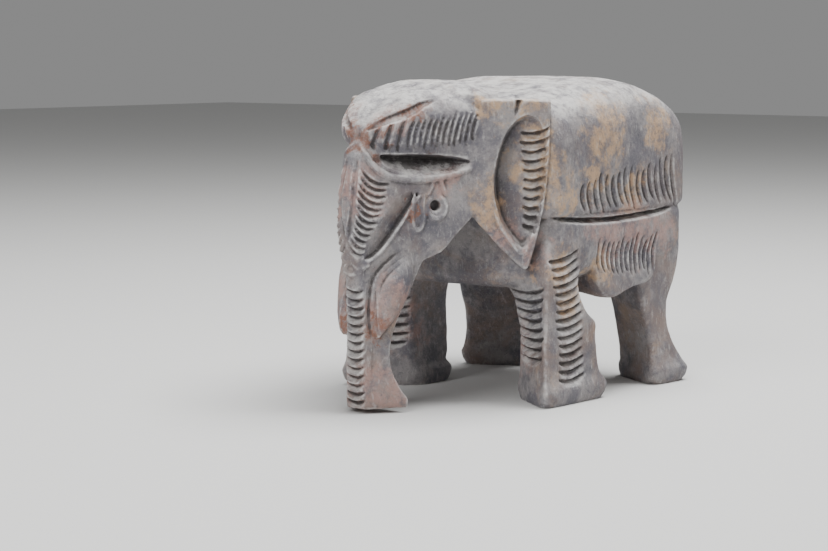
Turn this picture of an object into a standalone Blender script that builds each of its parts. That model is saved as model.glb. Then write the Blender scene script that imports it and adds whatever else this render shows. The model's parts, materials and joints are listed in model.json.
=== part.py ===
# Elephant figurine carved from one block of mottled stone.
# Metres, +Z up. The elephant looks along -Y, its left side is +X and it stands on z = 0.
import math

import bmesh
import bpy
from mathutils import Vector
from mathutils.bvhtree import BVHTree

# Driving sizes
LENGTH = 0.0811
WIDTH = 0.0520
HEIGHT = 0.0624

# Every shape below is drawn on a grid: 52 steps to the width, 81.1 to the length, 62.4 to the height
GRID_X = WIDTH / 52.0
GRID_Y = LENGTH / 81.1
GRID_Z = HEIGHT / 62.4
Y_SHIFT = 0.00175
VOXEL = 0.00045
FACETS = 1800

# Directions that the carved faces look in, in degrees from the front towards the left side
FRONT = 0.0
EAR = 40.5
TUSK = 56.0
CHEEK = 59.2
FLANK = 90.0
SHIN = -33.0
SHIN_START = 12.0

STONE = (0.36, 0.34, 0.37, 1.0)
STONE_ROUGHNESS = 0.62

for old in list(bpy.data.objects):
    bpy.data.objects.remove(old, do_unlink=True)

FIGURE = bpy.data.collections.new("wooden elephant figurine")
MASSES = bpy.data.collections.new("masses")
HOLLOWS = bpy.data.collections.new("hollows")
CUTTERS = bpy.data.collections.new("cutters")
for collection in (FIGURE, MASSES, HOLLOWS, CUTTERS):
    bpy.context.scene.collection.children.link(collection)


def stone_material():
    mat = bpy.data.materials.new("soapstone")
    mat.use_nodes = True
    shader = mat.node_tree.nodes["Principled BSDF"]
    shader.inputs["Base Color"].default_value = STONE
    shader.inputs["Roughness"].default_value = STONE_ROUGHNESS
    shader.inputs["Metallic"].default_value = 0.0
    return mat


def pt(x, y, z):
    """A grid position as a place in metres."""
    return Vector((x * GRID_X, y * GRID_Y + Y_SHIFT, z * GRID_Z))


def add_object(name, bm, collection):
    bmesh.ops.triangulate(bm, faces=bm.faces)
    bmesh.ops.recalc_face_normals(bm, faces=bm.faces)
    mesh = bpy.data.meshes.new(name)
    bm.to_mesh(mesh)
    bm.free()
    ob = bpy.data.objects.new(name, mesh)
    collection.objects.link(ob)
    if collection is not FIGURE:
        ob.hide_render = True
        ob.display_type = "WIRE"
    return ob


def loft(name, rings, collection=MASSES, mirrored=False):
    """A closed skin through rings of grid points; a ring of one point closes to a tip."""
    bm = bmesh.new()
    side = -1.0 if mirrored else 1.0
    rows = [[bm.verts.new(pt(side * x, y, z)) for x, y, z in ring] for ring in rings]
    for low, high in zip(rows, rows[1:]):
        n = max(len(low), len(high))
        for i in range(n):
            j = (i + 1) % n
            if len(low) == 1:
                bm.faces.new((low[0], high[j], high[i]))
            elif len(high) == 1:
                bm.faces.new((low[i], low[j], high[0]))
            else:
                bm.faces.new((low[i], low[j], high[j], high[i]))
    for end in (rows[0], rows[-1]):
        if len(end) > 2:
            bm.faces.new(end)
    return add_object(name, bm, collection)


def rounded(corners, radius, steps=2):
    """A closed outline whose corners are eased by a short curve."""
    out = []
    n = len(corners)
    for i in range(n):
        here = Vector(corners[i])
        before = Vector(corners[i - 1]) - here
        after = Vector(corners[(i + 1) % n]) - here
        a = here + before.normalized() * min(radius, 0.45 * before.length)
        b = here + after.normalized() * min(radius, 0.45 * after.length)
        for k in range(steps + 1):
            t = k / steps
            out.append(tuple(a * (1 - t) ** 2 + here * 2 * t * (1 - t) + b * t * t))
    return out


def oval(width, middle, up, down, over, under, steps):
    """A squared oval about x = 0, as (x, z) pairs; over and under say how square its halves are."""
    out = []
    for k in range(steps):
        a = 2 * math.pi * k / steps
        c = math.cos(a)
        s = math.sin(a)
        power = over if s >= 0 else under
        x = math.copysign(abs(c) ** (2 / power), c) * width
        z = math.copysign(abs(s) ** (2 / power), s) * (up if s > 0 else down)
        out.append((x, middle + z))
    return out


def between(table, at):
    """Reads a short table of (place, value, ...) rows at a place, by smooth steps."""
    if at <= table[0][0]:
        return table[0][1:]
    for low, high in zip(table, table[1:]):
        if at <= high[0]:
            t = (at - low[0]) / (high[0] - low[0])
            return tuple(a + (b - a) * t for a, b in zip(low[1:], high[1:]))
    return table[-1][1:]


def combine(ob, collection, operation):
    """One exact Boolean of an object with everything in a collection."""
    change = ob.modifiers.new(collection.name, "BOOLEAN")
    change.operation = operation
    change.solver = "EXACT"
    change.operand_type = "COLLECTION"
    change.collection = collection


def settle(ob):
    """Turns an object's modifiers into its mesh."""
    graph = bpy.context.evaluated_depsgraph_get()
    mesh = bpy.data.meshes.new_from_object(ob.evaluated_get(graph))
    ob.modifiers.clear()
    ob.data = mesh


def brush_off(ob):
    """Keeps the figurine and drops any chip that the cuts have freed."""
    bm = bmesh.new()
    bm.from_mesh(ob.data)
    left = set(bm.verts)
    pieces = []
    while left:
        piece = {left.pop()}
        edge = list(piece)
        while edge:
            near = {link.other_vert(vert) for vert in edge for link in vert.link_edges} & left
            left -= near
            piece |= near
            edge = list(near)
        pieces.append(piece)
    pieces.sort(key=len)
    chips = [vert for piece in pieces[:-1] for vert in piece]
    bmesh.ops.delete(bm, geom=chips, context="VERTS")
    bm.to_mesh(ob.data)
    bm.free()


def wear(ob, voxel, facets):
    """Fuses the masses into one worn skin and thins it to a number of triangles."""
    skin = ob.modifiers.new("fused", "REMESH")
    skin.mode = "VOXEL"
    skin.voxel_size = voxel
    worn = ob.modifiers.new("worn", "SMOOTH")
    worn.factor = 0.5
    worn.iterations = 2
    settle(ob)
    thin = ob.modifiers.new("facets", "DECIMATE")
    thin.ratio = facets / (2 * len(ob.data.polygons))
    settle(ob)


# Body

def flank_width(y, half, front_y, front_slope):
    """Half width of the body: slanted behind the ear, full along the flank, rounded at the rump."""
    back = max(0.0, (y - 8.0) / 31.0)
    width = half * max(0.0, 1.0 - back ** 9) ** (1 / 9)
    return min(width, half + front_slope * (y - front_y))


def back_rings():
    top = ((-17.5, 60.2), (-10, 60.7), (0, 61.6), (10, 62.3), (18, 62.4), (24, 61.9), (29, 60.4),
           (33, 57.9), (36, 54.6), (38, 50.2), (38.8, 47.0))
    rings = []
    for y in (-17.5, -13.5, -9.6, -4, 2, 8, 14, 20, 25, 29, 32.5, 35.5, 37.5, 38.5, 38.8):
        width = flank_width(y, 25.2, -9.6, 1.169)
        height = between(top, y)[0]
        section = oval(width, 44.0, height - 44.0, 8.2, 3.3, 14.0, 24)
        rings.append([(x, y, z) for x, z in section])
    return rings


def belly_rings():
    rings = []
    for y, under, half in ((-12, 24.5, 17.0), (-10.8, 22.6, 21.4), (-8, 21.8, 24.6), (0, 22.2, 25.0),
                           (12, 22.2, 25.0), (24, 22.6, 25.0), (31, 23.0, 24.8), (34.6, 23.6, 23.9),
                           (37.0, 25.4, 21.4), (38.0, 28.0, 18.0)):
        section = oval(half, 32.0, 5.0, 32.0 - under, 8.0, 4.0, 20)
        rings.append([(x, y, z) for x, z in section])
    return rings


# Legs. Each row: height, then the front outer, rear outer, rear inner and front inner corners

FORE_LEG = (
    (-2.0, (25.9, -14.9), (26.0, 7.4), (12.0, 6.4), (11.6, -5.0)),
    (2.4, (25.9, -14.6), (26.0, 7.2), (12.0, 6.2), (11.8, -5.2)),
    (3.6, (25.4, -13.9), (25.7, 5.9), (12.6, 4.9), (12.6, -5.6)),
    (6.0, (25.1, -13.7), (25.4, 4.6), (13.0, 3.4), (13.2, -6.0)),
    (12.0, (24.9, -13.5), (25.3, 3.4), (13.2, 2.0), (13.6, -6.3)),
    (15.0, (24.8, -13.3), (25.2, 3.6), (13.2, 1.4), (13.4, -6.6)),
    (17.2, (24.8, -13.1), (25.1, 0.6), (13.0, 0.4), (13.0, -7.0)),
    (20.5, (24.8, -12.9), (25.0, -1.6), (12.6, -0.6), (12.4, -7.6)),
    (24.0, (24.7, -12.6), (25.0, -2.2), (11.0, 0.0), (10.4, -8.6)),
    (28.0, (24.5, -12.2), (24.8, 0.0), (9.0, 2.0), (8.0, -9.6)),
    (33.0, (24.3, -11.6), (24.6, 2.0), (8.0, 3.0), (7.0, -9.6)),
)
HIND_LEG = (
    (-2.0, (25.2, 23.4), (26.0, 37.0), (11.6, 38.0), (10.2, 31.6)),
    (2.4, (25.2, 23.6), (26.0, 36.8), (11.8, 37.8), (10.4, 31.6)),
    (3.6, (24.8, 24.2), (25.4, 35.9), (12.4, 37.0), (11.0, 31.4)),
    (8.0, (24.1, 24.4), (24.4, 33.2), (12.8, 34.6), (11.6, 30.0)),
    (12.0, (23.8, 23.6), (23.8, 31.6), (12.8, 33.2), (11.8, 28.6)),
    (17.0, (23.6, 21.6), (23.9, 31.4), (12.4, 33.0), (11.6, 27.0)),
    (22.0, (23.6, 20.8), (24.4, 33.6), (11.4, 35.4), (10.6, 25.6)),
    (28.0, (23.6, 20.4), (24.0, 35.4), (9.0, 37.0), (9.0, 24.0)),
    (34.0, (23.6, 20.4), (23.4, 36.0), (7.0, 37.4), (8.0, 23.0)),
)


def leg_rings(table, radius):
    rings = []
    for row in table:
        outline = rounded(row[1:], radius)
        rings.append([(x, y, row[0]) for x, y in outline])
    return rings


# Head, trunk and jaw

def head_rings():
    """Wedge of the face: height, front, half width of the nose band, rear end and rear half width."""
    rings = []
    for z, front, band, rear, cheek in (
        (26.8, -39.9, 1.8, -33.0, 6.6),
        (28.3, -40.9, 2.0, -30.2, 8.6),
        (30.1, -41.7, 2.1, -26.4, 10.9),
        (33.0, -42.2, 2.3, -24.0, 12.2),
        (36.0, -42.3, 2.4, -21.4, 13.8),
        (40.0, -42.2, 2.3, -15.0, 14.6),
        (44.0, -41.5, 2.0, -13.0, 14.6),
        (48.0, -40.2, 1.8, -13.0, 14.6),
        (51.0, -38.7, 1.8, -13.0, 14.6),
        (54.0, -36.4, 2.2, -13.0, 14.6),
        (57.0, -33.4, 3.2, -13.0, 14.4),
        (59.4, -29.0, 4.4, -13.0, 13.6),
        (61.2, -23.0, 4.0, -14.0, 9.0),
        (62.0, -19.0, 2.0, -15.0, 4.0),
    ):
        knee = min(rear, -19.7) if rear > -21 else rear
        corners = ((band, front), (cheek, knee), (cheek * 0.98, rear), (-cheek * 0.98, rear),
                   (-cheek, knee), (-band, front))
        if abs(knee - rear) < 0.5:
            corners = ((band, front), (cheek, rear - 0.6), (cheek * 0.9, rear), (-cheek * 0.9, rear),
                       (-cheek, rear - 0.6), (-band, front))
        rings.append([(x, y, z) for x, y in rounded(corners, 0.7, 1)])
    return rings


def trunk_rings():
    rings = []
    for z, front, band, wide, rear in (
        (0.9, -39.4, 2.2, 7.4, -32.7),
        (2.6, -39.9, 2.0, 7.7, -32.6),
        (4.6, -40.0, 1.85, 6.6, -33.6),
        (8.0, -40.0, 1.75, 5.5, -34.7),
        (12.0, -40.0, 1.75, 5.0, -34.9),
        (17.0, -40.0, 1.75, 5.6, -33.6),
        (22.0, -40.1, 1.8, 6.9, -31.8),
        (27.0, -40.3, 1.9, 8.4, -30.4),
        (31.0, -41.0, 2.0, 9.4, -28.6),
    ):
        corners = ((band, front), (wide, rear), (-wide, rear), (-band, front))
        rings.append([(x, y, z) for x, y in rounded(corners, 0.6, 1)])
    return rings


def look(angle):
    """Outward and sideways directions, on the grid, of a face that looks at an angle from the front."""
    a = math.radians(angle)
    return Vector((math.sin(a), -math.cos(a), 0.0)), Vector((math.cos(a), math.sin(a), 0.0))


def on_face(angle, depth, s, z):
    """Grid place at sideways s and height z, out at a distance depth from the centre line."""
    out, along = look(angle)
    p = out * depth + along * s
    return (p.x, p.y, z)


def tusk_rings():
    """Leaf shaped lobe on the trunk's side: s, height, half width and how far it stands out."""
    rings = []
    path = ((-23.6, 29.6, 0.3, 24.2), (-24.2, 28.0, 2.0, 25.4), (-25.2, 25.2, 3.2, 26.0),
            (-26.2, 21.6, 3.3, 26.2), (-27.2, 18.4, 2.5, 26.1), (-28.2, 16.0, 1.5, 25.7),
            (-28.9, 14.3, 0.35, 25.0))
    for s, z, half, stand in path:
        ring = []
        for k in range(8):
            a = 2 * math.pi * k / 8
            reach = stand - 2.4 + 2.4 * math.sin(a)
            ring.append(on_face(TUSK, reach, s + half * math.cos(a), z + 0.35 * half * math.cos(a)))
        rings.append(ring)
    return rings


def brow_rings():
    """Domed brow lobe from the forehead to the ear: place along it, half height and thickness."""
    rings = []
    for s, low, high, stand in ((-32.6, 51.0, 54.4, 20.4), (-31.8, 49.9, 56.4, 21.8),
                                (-29.6, 49.0, 58.2, 23.4), (-26.4, 48.5, 59.4, 24.0),
                                (-22.6, 48.3, 60.4, 24.2), (-18.0, 48.6, 60.4, 24.2),
                                (-13.0, 49.0, 59.8, 23.9), (-9.0, 50.0, 58.8, 23.0)):
        middle = (low + high) / 2
        half = (high - low) / 2
        ring = []
        for k in range(12):
            a = 2 * math.pi * k / 12
            c = math.cos(a)
            t = math.sin(a)
            reach = max(stand - 7.0 + 7.0 * math.copysign(abs(c) ** 0.75, c), 0.595 * abs(s))
            ring.append(on_face(CHEEK, reach, s, middle + half * math.copysign(abs(t) ** 0.8, t)))
        rings.append(ring)
    return rings


RIM = ((-33.4, 51.0, 0.3), (-32.4, 48.6, 0.8), (-31.0, 46.4, 0.95), (-28.9, 44.6, 1.0), (-25.6, 43.8, 1.0),
       (-21.4, 43.6, 0.95), (-17.0, 44.0, 0.85), (-13.4, 44.8, 0.7), (-11.0, 45.6, 0.3))


def rim_rings():
    """Raised lid line that swoops from the forehead under the eye slot."""
    rings = []
    for i, (s, z, size) in enumerate(RIM):
        back = RIM[max(i - 1, 0)]
        ahead = RIM[min(i + 1, len(RIM) - 1)]
        over = Vector((back[1] - ahead[1], ahead[0] - back[0])).normalized()
        ring = []
        for k in range(6):
            a = 2 * math.pi * k / 6
            shift = size * math.cos(a)
            ring.append(on_face(CHEEK, 22.9 + size * math.sin(a), s + over.x * shift, z + over.y * shift))
        rings.append(ring)
    return rings


EAR_OUTLINE = ((-2.2, 58.5), (1.0, 58.6), (2.4, 57.4), (3.6, 58.6), (11.2, 58.5), (11.0, 50.0),
               (10.7, 44.0), (9.9, 38.0), (8.6, 32.0), (7.2, 27.0), (6.5, 26.2), (5.6, 26.8),
               (1.4, 30.8), (-3.0, 35.8), (-3.4, 37.0), (-2.6, 48.0))
EAR_HOLLOW = ((8.4, 55.2), (6.6, 55.8), (4.6, 54.8), (2.8, 52.4), (1.2, 48.4), (0.4, 44.0),
              (0.6, 39.6), (2.0, 35.0), (4.4, 31.6), (6.0, 30.0), (7.2, 31.6), (8.4, 35.4),
              (9.4, 40.0), (10.0, 45.0), (10.2, 50.0), (9.6, 53.6))


def ear_rings():
    """Flat plate of the ear, standing a little off the shoulder."""
    rings = []
    for depth, spread in ((-6.0, 0.0), (-0.5, 0.0), (0.0, 0.35)):
        ring = []
        for s, z in EAR_OUTLINE:
            pull_s = (4.5 - s) / 7.0 * spread
            pull_z = (44.0 - z) / 16.0 * spread
            ring.append(on_face(EAR, 25.05 + depth, s + pull_s, z + pull_z))
        rings.append(ring)
    return rings


def hollow_rings():
    """Scoop in the ear, deep along its front edge and shallow at the rear."""
    rings = []
    for lift, inset in ((0.5, -0.04), (0.0, 0.0), (-1.0, 0.14)):
        ring = []
        for s, z in EAR_HOLLOW:
            depth = 0.8 + 2.6 * max(0.0, (10.2 - s) / 9.8)
            centre_s = 5.6
            centre_z = 43.5
            drop = lift if lift >= 0 else lift * depth
            ring.append(on_face(EAR, 25.05 + drop, s + (centre_s - s) * inset,
                                z + (centre_z - z) * inset * 0.6))
        rings.append(ring)
    return rings


FLAP = ((2.6, 34.0), (2.4, 31.0), (3.4, 28.2), (4.0, 25.2), (5.0, 21.6), (7.2, 19.4), (10.0, 19.1),
        (14.5, 20.3), (19.0, 21.0), (23.0, 21.4), (25.2, 23.6), (25.8, 28.0), (25.4, 34.0))


def flap_rings():
    """Hanging fold of skin on the flank, drawn from the side."""
    rings = []
    for x, inset in ((14.0, 0.10), (22.0, 0.0), (24.5, 0.0), (25.2, 0.07)):
        ring = []
        for y, z in FLAP:
            ring.append((x - 0.06 * (z - 20.0), y + (14.5 - y) * inset, z + (29.0 - z) * inset))
        rings.append(ring)
    return rings


def tail_rings():
    rings = []
    for z, half, stand in ((55.0, 0.4, 34.6), (52.5, 1.3, 37.4), (47.0, 1.2, 39.3), (40.0, 1.0, 39.5),
                           (33.0, 0.9, 39.0), (30.5, 1.6, 38.6), (27.0, 1.9, 38.2), (24.0, 0.5, 37.0)):
        ring = []
        for k in range(8):
            a = 2 * math.pi * k / 8
            ring.append((half * math.cos(a), stand - 2.2 + 1.6 * math.sin(a), z))
        rings.append(ring)
    return rings


stone = stone_material()
elephant = loft("elephant", back_rings(), FIGURE)
elephant.data.materials.append(stone)

loft("belly", belly_rings())
loft("head", head_rings())
loft("trunk", trunk_rings())
loft("tail", tail_rings())
for mirrored, hand in ((False, "left "), (True, "right ")):
    loft(hand + "fore leg", leg_rings(FORE_LEG, 1.2), MASSES, mirrored)
    loft(hand + "hind leg", leg_rings(HIND_LEG, 1.6), MASSES, mirrored)
    loft(hand + "flap", flap_rings(), MASSES, mirrored)
    loft(hand + "ear", ear_rings(), MASSES, mirrored)
    loft(hand + "brow", brow_rings(), MASSES, mirrored)
    loft(hand + "rim", rim_rings(), MASSES, mirrored)
    loft(hand + "tusk", tusk_rings(), MASSES, mirrored)
    loft(hand + "ear hollow", hollow_rings(), HOLLOWS, mirrored)
combine(elephant, MASSES, "UNION")
combine(elephant, HOLLOWS, "DIFFERENCE")
settle(elephant)
wear(elephant, VOXEL, FACETS)


# Chisel cuts, placed on the carved surface itself

SKIN = BVHTree.FromObject(elephant, bpy.context.evaluated_depsgraph_get())


def skin_at(angle, s, z):
    """How far out the carved surface lies on a face, on the grid."""
    out, along = look(angle)
    reach = SHIN_START if angle == SHIN else 70.0
    far = out * reach + along * s
    start = pt(far.x, far.y, z)
    near = out * (reach - 1) + along * s
    ray = (pt(near.x, near.y, z) - start).normalized()
    hit = SKIN.ray_cast(start, ray)[0]
    if hit is None:
        return None
    grid = Vector((hit.x / GRID_X, (hit.y - Y_SHIFT) / GRID_Y, 0))
    return grid.dot(out)


def cut(name, angle, line, depth, above, below, mirrored=False):
    """One chisel cut run along a line of (s, z) points on a face: a V below the skin, open above it."""
    n = len(line)
    rings = []
    skin = None
    for i, (s, z) in enumerate(line):
        back = line[max(i - 1, 0)]
        ahead = line[min(i + 1, n - 1)]
        step = Vector((ahead[0] - back[0], ahead[1] - back[1])).normalized()
        over = Vector((-step.y, step.x))
        found = skin_at(angle, s, z)
        if found is not None and (skin is None or abs(found - skin) < 2.5):
            skin = found
        if skin is None:
            return
        full = max(0.0, math.sin(math.pi * i / (n - 1))) ** 0.6
        wide = full + 0.16 / depth
        ring = []
        for side, height in ((above, 1.4), (above, 0.16), (0.0, -depth * full), (-below, 0.16), (-below, 1.4)):
            shift = side * wide
            ring.append(on_face(angle, skin + height, s + over.x * shift, z + over.y * shift))
        rings.append(ring)
    loft(name, rings, CUTTERS, mirrored)


def smile(s, z, half, sag, lean=0.0, steps=3):
    """Crescent line whose ends turn up."""
    out = []
    for k in range(steps + 1):
        t = -1 + 2 * k / steps
        out.append((s + half * t, z + sag * t * t + lean * t))
    return out


def stroke(s, z, high, slant, bow=0.0, steps=2):
    """Nearly upright line from top to bottom."""
    out = []
    for k in range(steps + 1):
        t = k / steps
        out.append((s + slant * t + bow * math.sin(math.pi * t), z - high * t))
    return out


def chisel(name, work):
    """All cuts of one sort, left and right; work is a list of (angle, line, depth, above, below)."""
    for i, (angle, line, depth, above, below) in enumerate(work):
        cut("left %s %d" % (name, i), angle, line, depth, above, below)
        cut("right %s %d" % (name, i), angle, line, depth, above, below, True)


def row(count, first, last):
    for i in range(count):
        t = i / (count - 1)
        yield t, tuple(a + (b - a) * t for a, b in zip(first, last))


slot = [(-10.9, 36.2), (-6.0, 35.8), (0.0, 35.3), (8.0, 35.0), (17.0, 35.2), (25.0, 35.6), (31.0, 36.2)]
chisel("flank slot", [(FLANK, slot, 1.9, 0.5, 0.9)])

lens = [(-29.8, 48.2), (-27.0, 46.8), (-23.0, 46.2), (-18.0, 46.2), (-14.5, 46.4), (-11.6, 46.6)]
chisel("eye slot", [(CHEEK, lens, 3.0, 2.0, 1.9)])

diagonal = [(-21.8, 41.0), (-24.0, 38.2), (-26.2, 34.8), (-28.6, 31.8), (-31.0, 29.4), (-33.2, 28.4)]
chisel("face panel", [(CHEEK, diagonal, 1.3, 0.25, 4.0)])

ear_cuts = []
for t, (s, z, half) in row(11, (8.9, 50.8, 1.9), (7.6, 35.2, 1.2)):
    ear_cuts.append((EAR, smile(s, z, half, 0.45, 0.25), 0.75, 0.15, 1.0))
chisel("ear notches", ear_cuts)

panel_cuts = []
for t, (s, z, half) in row(9, (-30.0, 43.6, 1.8), (-34.1, 30.0, 1.1)):
    panel_cuts.append((CHEEK, smile(s, z, half, 0.5, -0.9 + 0.5 * t), 0.6, 0.15, 1.05))
chisel("panel notches", panel_cuts)

outer_cuts = []
for t, (s, z) in row(15, (-7.2, 28.4), (-5.0, 4.6)):
    half = 4.3 + 0.4 * math.sin(math.pi * t)
    outer_cuts.append((FLANK, smile(s, z, half, 0.5, 0.45), 0.6, 0.18, 1.05))
chisel("outer leg notches", outer_cuts)

shin_cuts = []
for t, (s, z) in row(8, (21.0, 20.6), (21.6, 9.6)):
    shin_cuts.append((SHIN, smile(s, z, 4.4, 0.6, 0.5), 0.6, 0.15, 1.0))
chisel("front leg notches", shin_cuts)

upper_cuts = []
for t, (s, z, high) in row(17, (-2.0, 42.4, 5.4), (30.4, 46.4, 9.4)):
    upper_cuts.append((FLANK, stroke(s, z, high, 0.2, 0.3), 0.45, 0.35, 0.7))
chisel("flank strokes", upper_cuts)

lower_cuts = []
for t, (s, z, high) in row(12, (4.2, 30.6, 6.6), (24.4, 31.4, 7.8)):
    lower_cuts.append((FLANK, stroke(s, z, high, 0.4 - 2.4 * t), 0.45, 0.35, 0.65))
chisel("flap strokes", lower_cuts)

fringe_cuts = []
for t, (s, z, high) in row(13, (-30.2, 54.6, 5.4), (-12.4, 56.0, 5.6)):
    fringe_cuts.append((CHEEK, stroke(s, z, high, -0.5, 0.25), 0.5, 0.3, 0.5))
chisel("brow fringe", fringe_cuts)

for t, (z,) in row(14, (25.6,), (2.8,)):
    cut("trunk ring %d" % round(t * 13), FRONT, smile(0.0, z, 2.0, 0.55, 0.0, 2), 0.7, 0.15, 1.1)

for side in (1.0, -1.0):
    reach = skin_at(CHEEK, -18.9, 38.6)
    out, along = look(CHEEK)
    x, y, z = on_face(CHEEK, reach, -18.9, 38.6)
    drill = bmesh.new()
    bmesh.ops.create_cone(drill, cap_ends=True, segments=10, radius1=0.4 * GRID_X,
                          radius2=1.0 * GRID_X, depth=2.4 * GRID_X)
    turn = Vector((side * out.x, out.y, 0)).to_track_quat("Z", "Y").to_matrix().to_4x4()
    turn.translation = pt(side * x, y, z)
    bmesh.ops.transform(drill, matrix=turn, verts=drill.verts)
    add_object("eye drill", drill, CUTTERS)
ground = bmesh.new()
bmesh.ops.create_cube(ground, size=1.0)
bmesh.ops.scale(ground, vec=(2 * WIDTH, 2 * LENGTH, HEIGHT), verts=ground.verts)
bmesh.ops.translate(ground, vec=(0.0, 0.0, -HEIGHT / 2), verts=ground.verts)
add_object("ground under the feet", ground, CUTTERS)
combine(elephant, CUTTERS, "DIFFERENCE")
settle(elephant)
brush_off(elephant)
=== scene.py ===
import json
import math

import bmesh
import bpy
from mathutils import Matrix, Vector
from mathutils.bvhtree import BVHTree

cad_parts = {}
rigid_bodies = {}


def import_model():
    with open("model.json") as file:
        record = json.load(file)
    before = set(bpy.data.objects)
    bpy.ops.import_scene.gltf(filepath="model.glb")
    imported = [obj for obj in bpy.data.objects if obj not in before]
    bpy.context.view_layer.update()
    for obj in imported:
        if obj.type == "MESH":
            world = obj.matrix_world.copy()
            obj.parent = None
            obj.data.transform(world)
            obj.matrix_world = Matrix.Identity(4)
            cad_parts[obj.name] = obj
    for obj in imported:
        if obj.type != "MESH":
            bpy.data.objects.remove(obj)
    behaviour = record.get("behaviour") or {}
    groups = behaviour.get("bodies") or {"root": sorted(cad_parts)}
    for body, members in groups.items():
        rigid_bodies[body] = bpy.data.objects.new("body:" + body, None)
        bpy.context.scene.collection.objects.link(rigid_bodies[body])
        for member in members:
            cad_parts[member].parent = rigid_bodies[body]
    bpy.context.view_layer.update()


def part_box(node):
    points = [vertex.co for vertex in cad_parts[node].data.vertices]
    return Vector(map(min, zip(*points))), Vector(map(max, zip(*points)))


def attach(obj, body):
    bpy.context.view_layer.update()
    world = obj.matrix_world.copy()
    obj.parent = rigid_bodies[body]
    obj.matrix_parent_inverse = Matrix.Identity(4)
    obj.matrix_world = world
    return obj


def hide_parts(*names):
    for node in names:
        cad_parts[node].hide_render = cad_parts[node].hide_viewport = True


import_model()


# The block
# One sawn brick of mottled soapstone. The whole elephant is cut from it, so every size below is a
# share of the block: 52 steps across, 81.1 along and 62.4 up, with y = -1.75 at its middle.

low_corner, high_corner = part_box("elephant")
STEP_X = (high_corner.x - low_corner.x) / 52.0
STEP_Y = (high_corner.y - low_corner.y) / 81.1
STEP_Z = (high_corner.z - low_corner.z) / 62.4
MIDDLE_Y = (high_corner.y + low_corner.y) / 2 + 1.75 * STEP_Y
LEFT = 1.0
RIGHT = -1.0

masses = bpy.data.collections.new("masses")
hollows = bpy.data.collections.new("hollows")
blades = bpy.data.collections.new("blades")
for shelf in (masses, hollows, blades):
    bpy.context.scene.collection.children.link(shelf)


def place(x, y, z):
    """A step position as a place in metres."""
    return Vector((x * STEP_X, y * STEP_Y + MIDDLE_Y, z * STEP_Z))


def flow(rings, times):
    """Puts extra rings between the drawn ones, on a smooth curve through them."""
    out = []
    for i in range(len(rings) - 1):
        four = (rings[max(i - 1, 0)], rings[i], rings[i + 1], rings[min(i + 2, len(rings) - 1)])
        for k in range(times):
            t = k / times
            ring = []
            for p, q, r, s in zip(*four):
                ring.append(tuple(
                    q[n] + 0.5 * t * (r[n] - p[n] + t * (2 * p[n] - 5 * q[n] + 4 * r[n] - s[n]
                                                         + t * (3 * (q[n] - r[n]) + s[n] - p[n])))
                    for n in range(3)))
            out.append(ring)
    out.append(rings[-1])
    return out


def hew(name, rings, side=LEFT, shelf=masses):
    """A closed solid through rings of step positions."""
    form = bmesh.new()
    rows = [[form.verts.new(place(side * x, y, z)) for x, y, z in ring] for ring in rings]
    for under, over in zip(rows, rows[1:]):
        for i in range(len(under)):
            j = (i + 1) % len(under)
            form.faces.new((under[i], under[j], over[j], over[i]))
    form.faces.new(rows[0])
    form.faces.new(rows[-1])
    bmesh.ops.triangulate(form, faces=form.faces)
    bmesh.ops.recalc_face_normals(form, faces=form.faces)
    mesh = bpy.data.meshes.new(name)
    form.to_mesh(mesh)
    form.free()
    ob = bpy.data.objects.new(name, mesh)
    shelf.objects.link(ob)
    return ob


def squared_oval(width, middle, up, down, over, under, steps):
    """A squared oval about x = 0, as (x, z) pairs; over and under say how square its halves are."""
    out = []
    for k in range(steps):
        a = 2 * math.pi * k / steps
        c = math.cos(a)
        s = math.sin(a)
        power = over if s >= 0 else under
        x = math.copysign(abs(c) ** (2 / power), c) * width
        z = math.copysign(abs(s) ** (2 / power), s) * (up if s > 0 else down)
        out.append((x, middle + z))
    return out


def read(table, at):
    """Reads a short table of (place, value, ...) rows at a place, by straight steps."""
    for under, over in zip(table, table[1:]):
        if at <= over[0]:
            t = max(0.0, (at - under[0]) / (over[0] - under[0]))
            return tuple(a + (b - a) * t for a, b in zip(under[1:], over[1:]))
    return table[-1][1:]


# Back and belly
# The back is a broad squared dome, highest over the loins and rounded off at the rump. It overhangs
# the belly, which is rounder and cut in under it.

BACK_LINE = ((-17.5, 58.6), (-10, 58.8), (0, 60.4), (10, 61.9), (18, 62.4), (24, 61.9), (29, 60.6),
             (33, 58.8), (35.5, 57.2), (37.2, 54.4), (38.4, 50.4), (38.8, 47.0))
back = []
for y in (-17.5, -13.5, -9.6, -4, 2, 8, 14, 20, 25, 29, 32.5, 35.5, 37.5, 38.5, 38.8):
    rump = max(0.0, (y - 8.0) / 31.0)
    width = 25.2 * max(0.0, 1.0 - rump ** 9) ** (1 / 9)
    width = min(width, 25.2 + 1.169 * (y + 9.6))
    section = squared_oval(width, 44.0, read(BACK_LINE, y)[0] - 44.0, 8.2, 4.3, 14.0, 72)
    back.append([(x, y, z) for x, z in section])
elephant = hew("elephant_carving", flow(back, 3), shelf=bpy.context.scene.collection)

belly = []
for y, under, half in ((-12, 24.5, 17.0), (-10.8, 22.6, 21.4), (-8, 21.8, 24.6), (0, 22.2, 25.0),
                       (12, 22.2, 25.0), (24, 22.6, 25.0), (31, 23.0, 24.8), (34.6, 23.6, 23.9),
                       (37.0, 25.4, 21.4), (38.0, 28.0, 18.0)):
    section = squared_oval(half, 32.0, 5.0, 32.0 - under, 8.0, 4.0, 60)
    belly.append([(x, y, z) for x, z in section])
hew("belly", flow(belly, 3))


# Legs
# Four stout posts left by cutting the block away between them. Each has a pad foot with a low step
# round it, and the hind ones bend back at the hock.

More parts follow.
